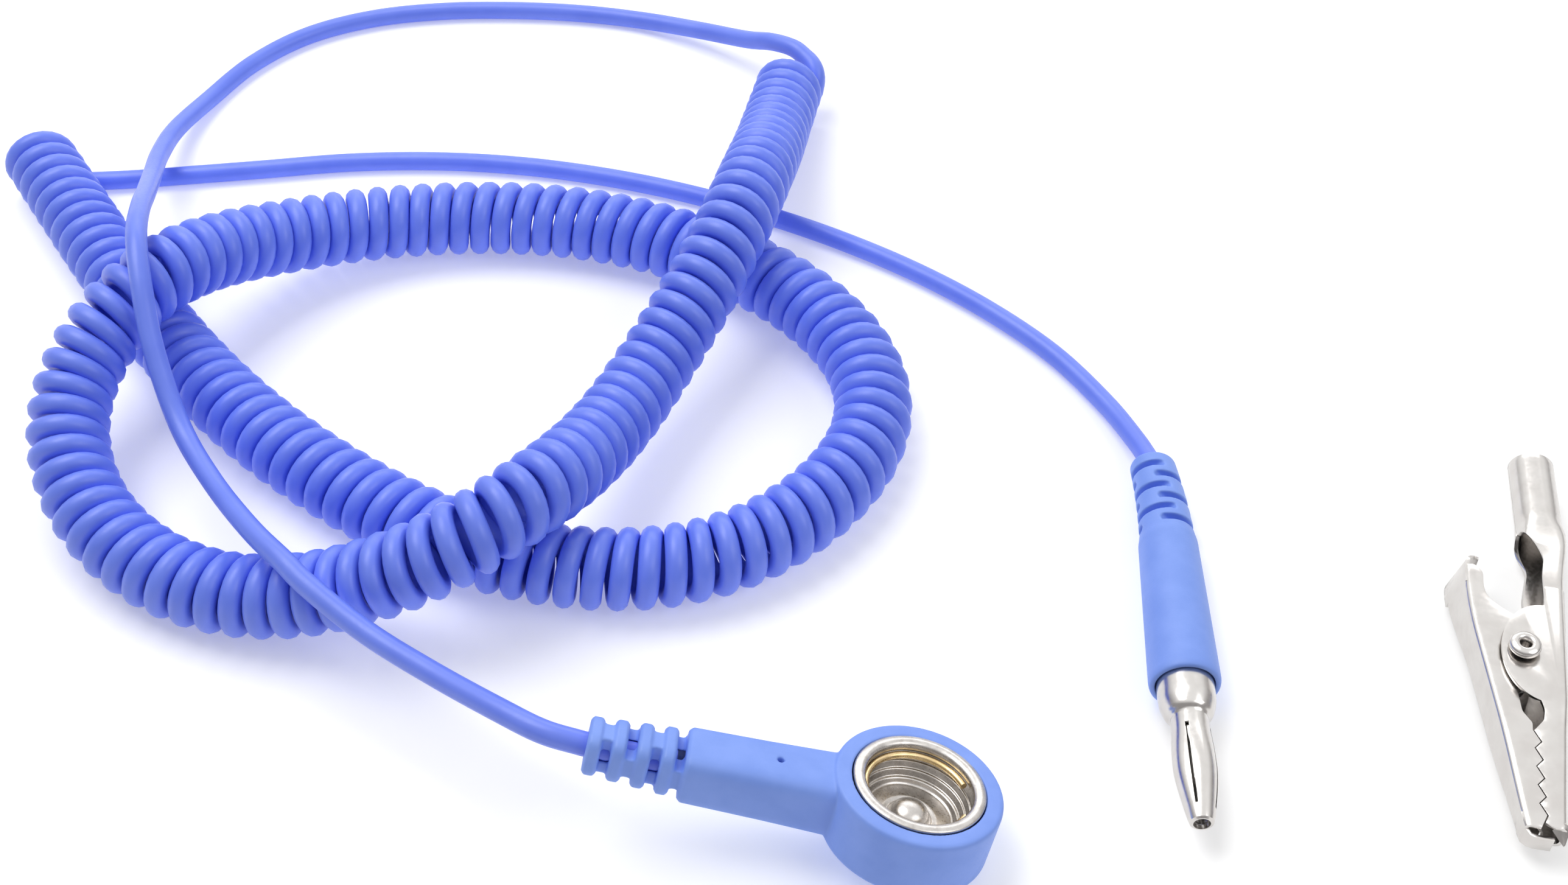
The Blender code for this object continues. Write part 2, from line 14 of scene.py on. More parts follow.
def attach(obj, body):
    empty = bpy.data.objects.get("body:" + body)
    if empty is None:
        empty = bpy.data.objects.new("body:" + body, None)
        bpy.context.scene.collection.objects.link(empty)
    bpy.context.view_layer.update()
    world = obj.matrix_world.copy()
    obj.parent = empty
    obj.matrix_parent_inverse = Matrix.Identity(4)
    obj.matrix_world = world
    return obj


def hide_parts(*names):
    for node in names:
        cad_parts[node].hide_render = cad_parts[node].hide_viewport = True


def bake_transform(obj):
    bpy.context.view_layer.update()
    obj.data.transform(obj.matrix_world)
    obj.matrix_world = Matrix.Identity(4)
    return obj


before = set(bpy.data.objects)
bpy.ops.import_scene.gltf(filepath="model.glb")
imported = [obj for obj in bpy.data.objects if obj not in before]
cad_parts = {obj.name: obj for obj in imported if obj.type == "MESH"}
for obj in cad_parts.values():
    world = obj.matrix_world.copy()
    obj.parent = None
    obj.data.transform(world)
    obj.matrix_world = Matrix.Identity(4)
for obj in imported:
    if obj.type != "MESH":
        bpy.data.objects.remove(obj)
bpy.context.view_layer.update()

MM = 0.001

# ---------------------------------------------------------------- camera

IMAGE_WIDTH = 2576
FOCAL_LENGTH_PX = 3500
SENSOR_WIDTH_MM = 36.0
CAMERA_AT = (-0.0345, -0.1380, 0.1863)
CAMERA_PITCH_DEG = 47.0  # below the horizontal, looking along +Y

camera_data = bpy.data.cameras.new("camera")
camera_data.sensor_fit = "HORIZONTAL"
camera_data.sensor_width = SENSOR_WIDTH_MM
camera_data.lens = FOCAL_LENGTH_PX * SENSOR_WIDTH_MM / IMAGE_WIDTH
camera_data.clip_start = 0.005
camera_data.clip_end = 20.0
camera = bpy.data.objects.new("camera", camera_data)
camera.location = CAMERA_AT
camera.rotation_euler = (math.radians(90.0 - CAMERA_PITCH_DEG), 0.0, 0.0)
bpy.context.scene.collection.objects.link(camera)
bpy.context.scene.camera = camera
bpy.context.scene.view_settings.view_transform = "Standard"

# ---------------------------------------------------------------- driving sizes

# The snap end's frame: origin at the centre of the head's underside, +X away from the cord.
SNAP_AT = Vector((-22.6, -20.6, 2.62)) * MM
SNAP_TURN = tuple(math.radians(a) for a in (-14.0, 12.0, -5.5))

# The plug's frame: origin at the cord's end of the boot, +X towards the tip.
PLUG_AT = Vector((9.1, 29.2, 2.92)) * MM
PLUG_TURN = tuple(math.radians(a) for a in (0.0, -1.99, -92.1))

# The clip's frame: origin at the nose, +Y towards the barrel, +X towards the barrel jaw's back.
CLIP_AT = Vector((43.0, -23.0, 0.6)) * MM
CLIP_TURN = (0.0, 0.0, math.radians(-12.0))
RIVET_X, RIVET_Y = -4.15, 21.9
RIVET_HOLE_RADIUS = 1.25

HEAD_RADIUS = 8.7
HEAD_HEIGHT = 7.0
POCKET_RADIUS = 6.9
POCKET_FLOOR = 0.6
ARM_CENTRE_Z = 3.4
RELIEF_END_X = -33.0
RIB_COUNT = 4
RIB_LENGTH = 1.45
RIB_PITCH = 2.45
RIB_EDGE = 0.3  # how much of a rib's length and height its rounding takes
BAR_HALF_WIDTH = 1.15

BOOT_LENGTH = 12.0
BOOT_BEND = 0.7  # how far the cord has pulled the boot's end aside
SLOT_STATIONS = 6
SLOT_FIRST_X = 1.9
SLOT_PITCH = 1.75
SLOT_HALF_WIDTH = 0.43
SLOT_FLOOR = 1.28  # distance from the boot's axis

SHEET = 0.4
JAW_HEIGHT = 6.6
LEVER_LOW = 0.7
LEVER_HIGH = 5.9
TOOTH_PITCH = 2.1
TOOTH_COUNT = 5
TOOTH_DEPTH = 0.7
TOOTH_LEAN = 0.07  # how far the row of teeth moves from the spine per millimetre
NOSE_Y = 1.1
BARREL_END_Y = 51.7

CORD_DIAMETER = 2.5 * MM
COIL_MEAN_RADIUS = 3.45 * MM
COIL_PITCH = 2.8 * MM
TURN_STEPS = 24
AXIS_WINDOW = 42  # points each way over which the coil's axis is smoothed

CAGE_TURN_DEG = 20.0

WORLD_STRENGTH = 0.42
SHINE_BOOST = 0.75  # how much more of the sky a shiny surface mirrors
PAPER_GLOW = 0.3  # the paper is lit from behind
GRAIN_HEIGHT = 0.02 * MM
KEY_POWER = 4.2
FILL_POWER = 1.8
BACK_POWER = 1.6

# Centreline of the coil, from the snap's end of it to the plug's end.
COIL_ROUTE = [
    (-0.0335, 0.0995, 0.0047), (-0.0354, 0.0889, 0.0062), (-0.0366, 0.0789, 0.0096),
    (-0.0381, 0.0691, 0.0133), (-0.0404, 0.0590, 0.0146), (-0.0445, 0.0491, 0.0124),
    (-0.0494, 0.0399, 0.0097), (-0.0536, 0.0308, 0.0093), (-0.0576, 0.0218, 0.0117),
    (-0.0627, 0.0132, 0.0148), (-0.0699, 0.0081, 0.0131), (-0.0793, 0.0070, 0.0088),
    (-0.0897, 0.0073, 0.0056), (-0.1002, 0.0098, 0.0048), (-0.1092, 0.0157, 0.0053),
    (-0.1151, 0.0236, 0.0070), (-0.1172, 0.0329, 0.0096), (-0.1150, 0.0402, 0.0124),
    (-0.1112, 0.0461, 0.0148), (-0.1080, 0.0512, 0.0141), (-0.1040, 0.0577, 0.0112),
    (-0.0972, 0.0641, 0.0077), (-0.0880, 0.0689, 0.0055), (-0.0776, 0.0710, 0.0047),
    (-0.0669, 0.0709, 0.0047), (-0.0562, 0.0690, 0.0047), (-0.0459, 0.0650, 0.0047),
    (-0.0364, 0.0593, 0.0047), (-0.0288, 0.0515, 0.0047), (-0.0242, 0.0425, 0.0047),
    (-0.0241, 0.0328, 0.0047), (-0.0292, 0.0233, 0.0047), (-0.0377, 0.0159, 0.0047),
    (-0.0474, 0.0124, 0.0047), (-0.0576, 0.0123, 0.0047), (-0.0679, 0.0148, 0.0047),
    (-0.0779, 0.0197, 0.0047), (-0.0872, 0.0260, 0.0047), (-0.0955, 0.0329, 0.0047),
    (-0.1029, 0.0404, 0.0047), (-0.1096, 0.0484, 0.0047), (-0.1159, 0.0569, 0.0047),
    (-0.1219, 0.0656, 0.0047), (-0.1279, 0.0746, 0.0047), (-0.1338, 0.0835, 0.0047),
]

# Centreline of the straight stretch between the snap's strain relief and the coil.
SNAP_TAIL_ROUTE = [
    (-0.0543, -0.0167, 0.0128), (-0.0582, -0.0158, 0.0135), (-0.0626, -0.0131, 0.0132),
    (-0.0702, -0.0073, 0.0116), (-0.0778, -0.0017, 0.0112), (-0.0844, 0.0034, 0.0125),
    (-0.0875, 0.0065, 0.0130), (-0.0920, 0.0117, 0.0121), (-0.0980, 0.0204, 0.0099),
    (-0.1033, 0.0289, 0.0102), (-0.1068, 0.0365, 0.0152), (-0.1086, 0.0430, 0.0197),
    (-0.1100, 0.0490, 0.0212), (-0.1115, 0.0560, 0.0191), (-0.1133, 0.0640, 0.0149),
    (-0.1154, 0.0730, 0.0101), (-0.1170, 0.0820, 0.0063), (-0.1172, 0.0910, 0.0033),
    (-0.1147, 0.0998, 0.0015), (-0.1100, 0.1083, 0.0013), (-0.1032, 0.1149, 0.0013),
    (-0.0943, 0.1190, 0.0013), (-0.0842, 0.1208, 0.0013), (-0.0738, 0.1210, 0.0013),
    (-0.0638, 0.1202, 0.0013), (-0.0548, 0.1182, 0.0015), (-0.0468, 0.1143, 0.0027),
    (-0.0398, 0.1092, 0.0048), (-0.0362, 0.1062, 0.0066), (-0.0332, 0.1038, 0.0073),
    (-0.0314, 0.1020, 0.0069), (-0.0309, 0.1005, 0.0060),
]

# Centreline of the straight stretch between the coil and the plug's boot.
PLUG_TAIL_ROUTE = [
    (-0.1278, 0.0824, 0.0013), (-0.1220, 0.0828, 0.0013), (-0.1142, 0.0837, 0.0013),
    (-0.1045, 0.0849, 0.0013), (-0.0933, 0.0863, 0.0013), (-0.0819, 0.0866, 0.0013),
    (-0.0707, 0.0857, 0.0013), (-0.0597, 0.0836, 0.0013), (-0.0488, 0.0804, 0.0013),
    (-0.0381, 0.0761, 0.0013), (-0.0278, 0.0709, 0.0013), (-0.0181, 0.0648, 0.0013),
    (-0.0092, 0.0577, 0.0013), (-0.0014, 0.0496, 0.0013), (0.0042, 0.0410, 0.0014),
    (0.0071, 0.0340, 0.0022), (0.0083, 0.0298, 0.00291),
]


def local_frame(at, turn):
    matrix = Matrix.Translation(at)
    for axis, angle in zip("ZYX", reversed(turn)):
        matrix = matrix @ Matrix.Rotation(angle, 4, axis)
    return matrix


SNAP = local_frame(SNAP_AT, SNAP_TURN)
PLUG = local_frame(PLUG_AT, PLUG_TURN)
CLIP = local_frame(CLIP_AT, CLIP_TURN)
RIVET = CLIP @ Matrix.Translation(Vector((RIVET_X, RIVET_Y, 0.0)) * MM)
# Turns a piece made about Z so that it lies along X.
ALONG_X = Matrix.Rotation(math.radians(90.0), 4, "Y")

# ---------------------------------------------------------------- materials


def noise(tree, scale):
    place = tree.nodes.new("ShaderNodeTexCoord")
    texture = tree.nodes.new("ShaderNodeTexNoise")
    texture.inputs["Scale"].default_value = scale
    texture.inputs["Detail"].default_value = 3.0
    tree.links.new(place.outputs["Object"], texture.inputs["Vector"])
    return texture.outputs["Fac"]


def spread(tree, value, low, high):
    """The noise's middle range stretched to run from low to high."""
    node = tree.nodes.new("ShaderNodeMapRange")
    node.inputs["From Min"].default_value = 0.35
    node.inputs["From Max"].default_value = 0.65
    node.inputs["To Min"].default_value = low
    node.inputs["To Max"].default_value = high
    tree.links.new(value, node.inputs["Value"])
    return node.outputs["Result"]


def material(name, dark, light, roughness, metallic=0.0, patch=300.0, grain=4000.0, bump=0.1):
    """The colour drifts between dark and light in patches. A finer grain moves the roughness and
    stands up as a bump."""
    made = bpy.data.materials.new(name)
    made.use_nodes = True
    tree = made.node_tree
    shader = tree.nodes["Principled BSDF"]
    shader.inputs["Metallic"].default_value = metallic
    patches = noise(tree, patch)
    mix = tree.nodes.new("ShaderNodeMix")
    mix.data_type = "RGBA"
    mix.inputs["A"].default_value = (*dark, 1.0)
    mix.inputs["B"].default_value = (*light, 1.0)
    tree.links.new(spread(tree, patches, 0.0, 1.0), mix.inputs["Factor"])
    tree.links.new(mix.outputs["Result"], shader.inputs["Base Color"])
    fine = noise(tree, grain)
    tree.links.new(spread(tree, fine, *roughness), shader.inputs["Roughness"])
    bumps = tree.nodes.new("ShaderNodeBump")
    bumps.inputs["Strength"].default_value = bump
    bumps.inputs["Distance"].default_value = GRAIN_HEIGHT
    tree.links.new(fine, bumps.inputs["Height"])
    tree.links.new(bumps.outputs["Normal"], shader.inputs["Normal"])
    return made


OVERMOULD = material(
    "overmould_pvc", (0.200, 0.335, 0.860), (0.225, 0.365, 0.900), (0.46, 0.58),
    grain=5200.0, bump=0.35,
)
CORD = material(
    "cord_polyurethane", (0.150, 0.235, 0.900), (0.172, 0.262, 0.940), (0.34, 0.44),
    patch=180.0, grain=3000.0, bump=0.16,
)
NICKEL = material(
    "nickel_plate", (0.60, 0.575, 0.555), (0.64, 0.62, 0.60), (0.18, 0.26), metallic=1.0,
    patch=420.0, grain=2600.0, bump=0.03,
)
WORN_NICKEL = material(
    "nickel_worn", (0.46, 0.435, 0.415), (0.60, 0.575, 0.55), (0.26, 0.36), metallic=1.0,
    patch=900.0, grain=4200.0, bump=0.05,
)
BRASS = material(
    "brass", (0.66, 0.49, 0.25), (0.78, 0.60, 0.34), (0.22, 0.34), metallic=1.0, patch=900.0,
)
TINNED = material("tinned_copper", (0.52, 0.50, 0.48), (0.62, 0.60, 0.58), (0.34, 0.48), metallic=1.0)
COPPER = material("copper", (0.66, 0.32, 0.19), (0.78, 0.42, 0.27), (0.32, 0.45), metallic=1.0)
STEEL = material("spring_steel", (0.34, 0.34, 0.35), (0.45, 0.45, 0.46), (0.28, 0.38), metallic=1.0)
ENAMEL = material("resistor_enamel", (0.36, 0.52, 0.66), (0.42, 0.60, 0.74), (0.35, 0.48))

# ---------------------------------------------------------------- making pieces


def rounded(corners, closed=True, steps=5):
    """An outline with rounded corners. A corner is (x, y) or (x, y, reach), and reach is how far
    from the corner its rounding starts."""
    count = len(corners)
    points = []
    for i, corner in enumerate(corners):
        here = Vector(corner[:2])
        reach = corner[2] if len(corner) > 2 else 0.0
        if not reach or (not closed and i in (0, count - 1)):
            points.append(here)
            continue
        before = Vector(corners[i - 1][:2]) - here
        after = Vector(corners[(i + 1) % count][:2]) - here
        start = here + before.normalized() * min(reach, 0.49 * before.length)
        end = here + after.normalized() * min(reach, 0.49 * after.length)
        for k in range(steps + 1):
            t = k / steps
            points.append(start * (1 - t) ** 2 + here * 2 * t * (1 - t) + end * t * t)
    return [tuple(p) for p in points]


def arc(centre, radius_x, radius_y, start_deg, end_deg, steps):
    points = []
    for i in range(steps + 1):
        angle = math.radians(start_deg + (end_deg - start_deg) * i / steps)
        points.append((centre[0] + radius_x * math.cos(angle), centre[1] + radius_y * math.sin(angle)))
    return points


def mesh_from(bm, name):
    bmesh.ops.remove_doubles(bm, verts=bm.verts, dist=1e-8)
    bmesh.ops.recalc_face_normals(bm, faces=bm.faces)
    mesh = bpy.data.meshes.new(name)
    bm.to_mesh(mesh)
    bm.free()
    return mesh


def solid(name, bm, matrix=Matrix.Identity(4)):
    obj = bpy.data.objects.new(name, mesh_from(bm, name))
    bpy.context.scene.collection.objects.link(obj)
    obj.matrix_world = matrix
    return obj


def skin(rings):
    """A surface through closed rings of points, with a flat cap at each end."""
    bm = bmesh.new()
    rows = [[bm.verts.new(Vector(p)) for p in ring] for ring in rings]
    count = len(rows[0])
    for row, following in zip(rows, rows[1:]):
        for i in range(count):
            j = (i + 1) % count
            bm.faces.new((row[i], row[j], following[j], following[i]))
    bm.faces.new(rows[0])
    bm.faces.new(list(reversed(rows[-1])))
    return bm


def turned(name, outline_mm, matrix, steps=96, ring=False):
    """A turned piece. The outline is (radius, height) points, and a ring's outline is closed."""
    bm = bmesh.new()
    rows = []
    for radius, height in outline_mm:
        if radius < 1e-6:
            rows.append([bm.verts.new((0.0, 0.0, height * MM))] * steps)
            continue
        row = []
        for k in range(steps):
            angle = 2 * math.pi * k / steps
            x = radius * math.cos(angle) * MM
            y = radius * math.sin(angle) * MM
            row.append(bm.verts.new((x, y, height * MM)))
        rows.append(row)
    pairs = list(zip(rows, rows[1:]))
    if ring:
        pairs.append((rows[-1], rows[0]))
    for row, following in pairs:
        for i in range(steps):
            j = (i + 1) % steps
            corners = list(dict.fromkeys((row[i], row[j], following[j], following[i])))
            if len(corners) > 2:
                bm.faces.new(corners)
    return solid(name, bm, matrix)


def prism(name, outline_mm, low_mm, high_mm, matrix, plane="xy"):
    """A flat outline drawn out between two heights, or between two places along y for plane "xz"."""
    rings = []
    for height in (low_mm, high_mm):
        if plane == "xy":
            rings.append([(x * MM, y * MM, height * MM) for x, y in outline_mm])
        else:
            rings.append([(x * MM, height * MM, z * MM) for x, z in outline_mm])
    return solid(name, skin(rings), matrix)


def rod(name, start_mm, end_mm, radius_mm, matrix, steps=48):
    start = Vector(start_mm) * MM
    way = Vector(end_mm) * MM - start
    place = Matrix.Translation(start) @ way.to_track_quat("Z", "Y").to_matrix().to_4x4()
    outline = [(0.0, 0.0), (radius_mm, 0.0), (radius_mm, way.length / MM), (0.0, way.length / MM)]
    return turned(name, outline, matrix @ place, steps)


def apply_modifiers(obj):
    graph = bpy.context.evaluated_depsgraph_get()
    mesh = bpy.data.meshes.new_from_object(obj.evaluated_get(graph))
    obj.modifiers.clear()
    obj.data = mesh


def combine(target, others, operation):
    for other in others:
        modifier = target.modifiers.new(other.name, "BOOLEAN")
        modifier.operation = operation
        modifier.object = other
    apply_modifiers(target)
    for other in others:
        bpy.data.objects.remove(other)
    return target


def join(target, *others):
    return combine(target, others, "UNION")


def cut(target, *others):
    return combine(target, others, "DIFFERENCE")


def soften(obj, voxel_mm, rounds):
    """Moulded look: an even skin over the shape, with its corners eased."""
    remesh = obj.modifiers.new("even skin", "REMESH")
    remesh.mode = "VOXEL"
    remesh.voxel_size = voxel_mm * MM
    smooth = obj.modifiers.new("eased corners", "SMOOTH")
    smooth.factor = 0.5
    smooth.iterations = rounds
    apply_modifiers(obj)
    obj.data.shade_smooth()


def edge_round(obj, width_mm):
    bevel = obj.modifiers.new("rounded edges", "BEVEL")
    bevel.width = width_mm * MM
    bevel.segments = 2
    bevel.limit_method = "ANGLE"
    bevel.angle_limit = math.radians(40.0)
    apply_modifiers(obj)


def put_in_world(obj, look):
    """The mesh itself in the world's coordinates, in one material."""
    obj.data.transform(obj.matrix_world)
    obj.matrix_world = Matrix.Identity(4)
    obj.data.materials.clear()
    obj.data.materials.append(look)


def finish_piece(obj, look, body, node, sharp_deg=35.0):
    put_in_world(obj, look)
    if sharp_deg:
        obj.data.shade_smooth()
        obj.data.set_sharp_from_angle(angle=math.radians(sharp_deg))
    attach(obj, body)
    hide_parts(node)
    return obj


# ---------------------------------------------------------------- cord


def catmull_rom(route, parts):
    """A smooth curve through the route's points, with the given number of parts in each span."""
    knots = [Vector(p) for p in route]
    knots = [2 * knots[0] - knots[1], *knots, 2 * knots[-1] - knots[-2]]
    fine = []
    for before, start, end, after in zip(knots, knots[1:], knots[2:], knots[3:]):
        for i in range(parts):
            t = i / parts
            fine.append(
                0.5
                * (
                    2 * start
                    + (end - before) * t
                    + (2 * before - 5 * start + 4 * end - after) * t**2
                    + (3 * start - before - 3 * end + after) * t**3
                )
            )
    fine.append(knots[-2])
    return fine


def length_of(points):
    return sum((b - a).length for a, b in zip(points, points[1:]))


def even_points(points, spacing):
    """The same line with its points at even distances."""
    total = length_of(points)
    count = round(total / spacing)
    step = total / count
    made = [points[0]]
    travelled = 0.0
    for a, b in zip(points, points[1:]):
        piece = (b - a).length
        while len(made) < count and travelled + piece >= step * len(made):
            made.append(a.lerp(b, (step * len(made) - travelled) / piece))
        travelled += piece
    made.append(points[-1])
    return made


def averaged(values, half):
    """Each value's mean with its neighbours, up to half of them on each side."""
    made = []
    last = len(values) - 1
    for i in range(len(values)):
        reach = min(half, i, last - i)
        window = values[i - reach : i + reach + 1]
        made.append(sum(window[1:], window[0]) / len(window))
    return made


def bridge(start, start_way, end, end_way, steps, pull=0.4):
    """Points strictly between two ends, on a curve that leaves and arrives along the given ways."""
    reach = pull * (end - start).length
    first = start + start_way.normalized() * reach
    last = end - end_way.normalized() * reach
    points = []
    for i in range(1, steps):
        t = i / steps
        u = 1 - t
        points.append(start * u**3 + first * 3 * u * u * t + last * 3 * u * t * t + end * t**3)
    return points


def left_handed_helix(axis):
    """The cord's centreline round a smooth axis, from the axis's left side to its underside."""
    ways = [(b - a).normalized() for a, b in zip(axis, axis[1:])]
    ways.append(ways[-1])
    turns = round(length_of(axis) / COIL_PITCH) + 0.25
    points = []
    for i, (centre, way) in enumerate(zip(axis, ways)):
        phase = math.pi + 2 * math.pi * turns * i / (len(axis) - 1)
        side = way.cross(Vector((0, 0, 1))).normalized()
        up = side.cross(way)
        points.append(centre + COIL_MEAN_RADIUS * (side * math.cos(phase) + up * math.sin(phase)))
    return points


def in_boot(x_mm):
    """A point on the boot's axis, which the cord has bent aside at its free end."""
    share = max(0.0, 1.0 - x_mm / BOOT_LENGTH)
    return PLUG @ (Vector((x_mm, -BOOT_BEND * share**2, 0.0)) * MM)


def cord_line():
    """The whole cord from inside the strain relief to inside the boot."""
    axis = even_points(catmull_rom(COIL_ROUTE, 40), COIL_PITCH / TURN_STEPS)
    axis = averaged(averaged(axis, AXIS_WINDOW), AXIS_WINDOW)
    coil = left_handed_helix(even_points(axis, COIL_PITCH / TURN_STEPS))
    snap_tail = catmull_rom(SNAP_TAIL_ROUTE[:-1], 8)
    plug_tail = catmull_rom(PLUG_TAIL_ROUTE, 8)
    relief = [SNAP @ (Vector((x, 0.0, ARM_CENTRE_Z)) * MM) for x in (-24.0, -28.0, -32.0)]
    boot = [in_boot(x) for x in (2.0, 4.0, 6.0, 9.0, 12.0, 15.0)]
    lead_in = bridge(snap_tail[-1], snap_tail[-1] - snap_tail[-2], coil[0], coil[1] - coil[0], 8)
    lead_out = bridge(coil[-1], coil[-1] - coil[-2], plug_tail[0], plug_tail[1] - plug_tail[0], 10)
    return [*relief, *snap_tail, *lead_in, *coil, *lead_out, *plug_tail, *boot]


def cord_piece():
    points = cord_line()
    curve = bpy.data.curves.new("coiled_cord", "CURVE")
    curve.dimensions = "3D"
    curve.bevel_depth = CORD_DIAMETER / 2
    curve.bevel_resolution = 4
    curve.use_fill_caps = True
    spline = curve.splines.new("POLY")
    spline.points.add(len(points) - 1)
    for point, place_at in zip(spline.points, points):
        point.co = (*place_at, 1.0)
    spline.use_smooth = True
    curve.materials.append(CORD)
    cord = bpy.data.objects.new("coiled_cord", curve)
    bpy.context.scene.collection.objects.link(cord)
    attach(cord, "lead")
    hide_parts("cord_tail_snap", "cord_coil", "cord_tail_plug")
    return cord, length_of(points)


# ---------------------------------------------------------------- snap end


def superellipse(x, centre_z, half_y, half_z, power, steps=64):
    ring = []
    for k in range(steps):
        angle = 2 * math.pi * k / steps
        c, s = math.cos(angle), math.sin(angle)
        y = half_y * math.copysign(abs(c) ** (2 / power), c)
        z = half_z * math.copysign(abs(s) ** (2 / power), s)
        ring.append((x * MM, y * MM, (centre_z + z) * MM))
    return ring


def box(name, low_mm, high_mm, matrix):
    (x0, y0, z0), (x1, y1, z1) = low_mm, high_mm
    return prism(name, [(x0, y0), (x1, y0), (x1, y1), (x0, y1)], z0, z1, matrix)


def relief_pieces():
    """Four ribs round the cord. The bars between them alternate between upright and level."""
    made = []
    for i in range(RIB_COUNT):
        start = RELIEF_END_X + RIB_PITCH * i
        end = start + RIB_LENGTH
        half = 2.5 + 0.13 * i
        small = half - RIB_EDGE
        rib = []
        for x, size in ((start, small), (start + RIB_EDGE, half), (end - RIB_EDGE, half), (end, small)):
            rib.append(superellipse(x, ARM_CENTRE_Z, size, size, 3.6))
        made.append(solid(f"rib_{i}", skin(rib), SNAP))
        wide, tall = BAR_HALF_WIDTH, half - 0.25
        if i % 2:
            wide, tall = tall, wide
        low = (end - 0.3, -wide, ARM_CENTRE_Z - tall)
        made.append(box(f"bar_{i}", low, (end + 1.3, wide, ARM_CENTRE_Z + tall), SNAP))
    return made


def snap_overmould():
    head_outline = rounded(
        [
            (HEAD_RADIUS, HEAD_HEIGHT, 0.55), (HEAD_RADIUS, 0.0, 0.6), (0.01, 0.0), (0.01, POCKET_FLOOR),
            (POCKET_RADIUS, POCKET_FLOOR), (POCKET_RADIUS, HEAD_HEIGHT, 0.1),
        ]
    )
    head = turned("snap_head", head_outline, SNAP, steps=160, ring=True)
    sections = []
    for x, grow in ((-23.3, 0.9), (-22.9, 1.0), (-15.0, 1.04), (-7.9, 1.1)):
        sections.append(superellipse(x, ARM_CENTRE_Z, 3.2 * grow, 3.0 * grow, 4.5))
    arm = solid("arm", skin(sections), SNAP)
    head = join(head, arm, *relief_pieces())
    cut(
        head,
        box("channel", (-22.0, -1.9, 1.2), (-6.0, 1.9, 5.3), SNAP),
        rod("bore", (-34.0, 0, ARM_CENTRE_Z), (-21.0, 0, ARM_CENTRE_Z), 1.3, SNAP),
        rod("pinhole", (-14.0, 0, 4.0), (-14.0, 0, 8.0), 0.36, SNAP),
    )
    soften(head, 0.15, 3)
    return finish_piece(head, OVERMOULD, "lead", "snap_overmould", sharp_deg=None)


def snap_socket():
    cup = rounded(
        [
            (6.80, 6.80, 0.2), (6.62, 6.25, 0.1), (6.30, 6.10, 0.2), (6.30, 2.20, 0.5), (0.95, 2.20),
            (0.95, 2.60), (2.05, 2.60, 0.1), (2.35, 2.42, 0.15), (2.80, 2.60, 0.15),
            (4.55, 2.60, 0.3), (4.80, 3.15, 0.12), (5.15, 3.25, 0.12), (5.25, 3.95, 0.12),
            (5.55, 4.05, 0.12), (5.62, 4.75, 0.10), (5.85, 4.85, 0.10), (5.85, 6.00, 0.15),
            (5.55, 6.30, 0.15), (5.50, 7.05, 0.35), (6.10, 7.36, 0.35), (6.80, 7.15, 0.25),
        ]
    )
    socket = turned("snap_cup", cup, SNAP, steps=128, ring=True)
    finish_piece(socket, WORN_NICKEL, "lead", "snap_socket_cup")
    dome = arc((0.0, 2.75), 2.0, 1.45, 90, 0, 14)
    rivet = [*dome, (0.65, 2.72), (0.65, 1.20), (1.35, 1.20), (1.35, 0.90), (0.0, 0.90)]
    finish_piece(turned("snap_dome", rivet, SNAP), WORN_NICKEL, "lead", "snap_rivet")
    ring = wire_mesh("snap_spring", ring_points(), 0.38, SNAP, 12)
    finish_piece(ring, BRASS, "lead", "snap_ring_spring", sharp_deg=60.0)


def ring_points():
    """The ring spring's centreline, open over 50 degrees."""
    return [
        Vector((5.32 * math.cos(a), 5.32 * math.sin(a), 5.85)) * MM
        for a in (math.radians(25 + 310 * i / 96) for i in range(97))
    ]


def wire_mesh(name, points, radius_mm, matrix, sides):
    """A round wire as a closed mesh."""
    rings = []
    side = None
    for i, point in enumerate(points):
        way = (points[min(i + 1, len(points) - 1)] - points[max(i - 1, 0)]).normalized()
        if side is None:
            side = way.orthogonal().normalized()
        side = (side - way * side.dot(way)).normalized()
        other = way.cross(side)
        ring = []
        for k in range(sides):
            angle = 2 * math.pi * k / sides
            ring.append(point + (side * math.cos(angle) + other * math.sin(angle)) * radius_mm * MM)
        rings.append(ring)
    return solid(name, skin(rings), matrix)


# ---------------------------------------------------------------- plug


def boot_slots():
    """Pairs of opposite slots along the boot, each pair a quarter turn from the last."""
    made = []
    for station in range(SLOT_STATIONS):
        x = SLOT_FIRST_X + SLOT_PITCH * station
        near, far = x - SLOT_HALF_WIDTH, x + SLOT_HALF_WIDTH
        for side in (0, 180):
            turn = Matrix.Rotation(math.radians(45.0 + 90.0 * station + side), 4, "X")
            corners = rounded([(near, SLOT_FLOOR, 0.35), (far, SLOT_FLOOR, 0.35), (far, 4.5), (near, 4.5)])
            made.append(prism(f"slot_{station}_{side}", corners, -4.0, 4.0, PLUG @ turn, plane="xz"))
    return made


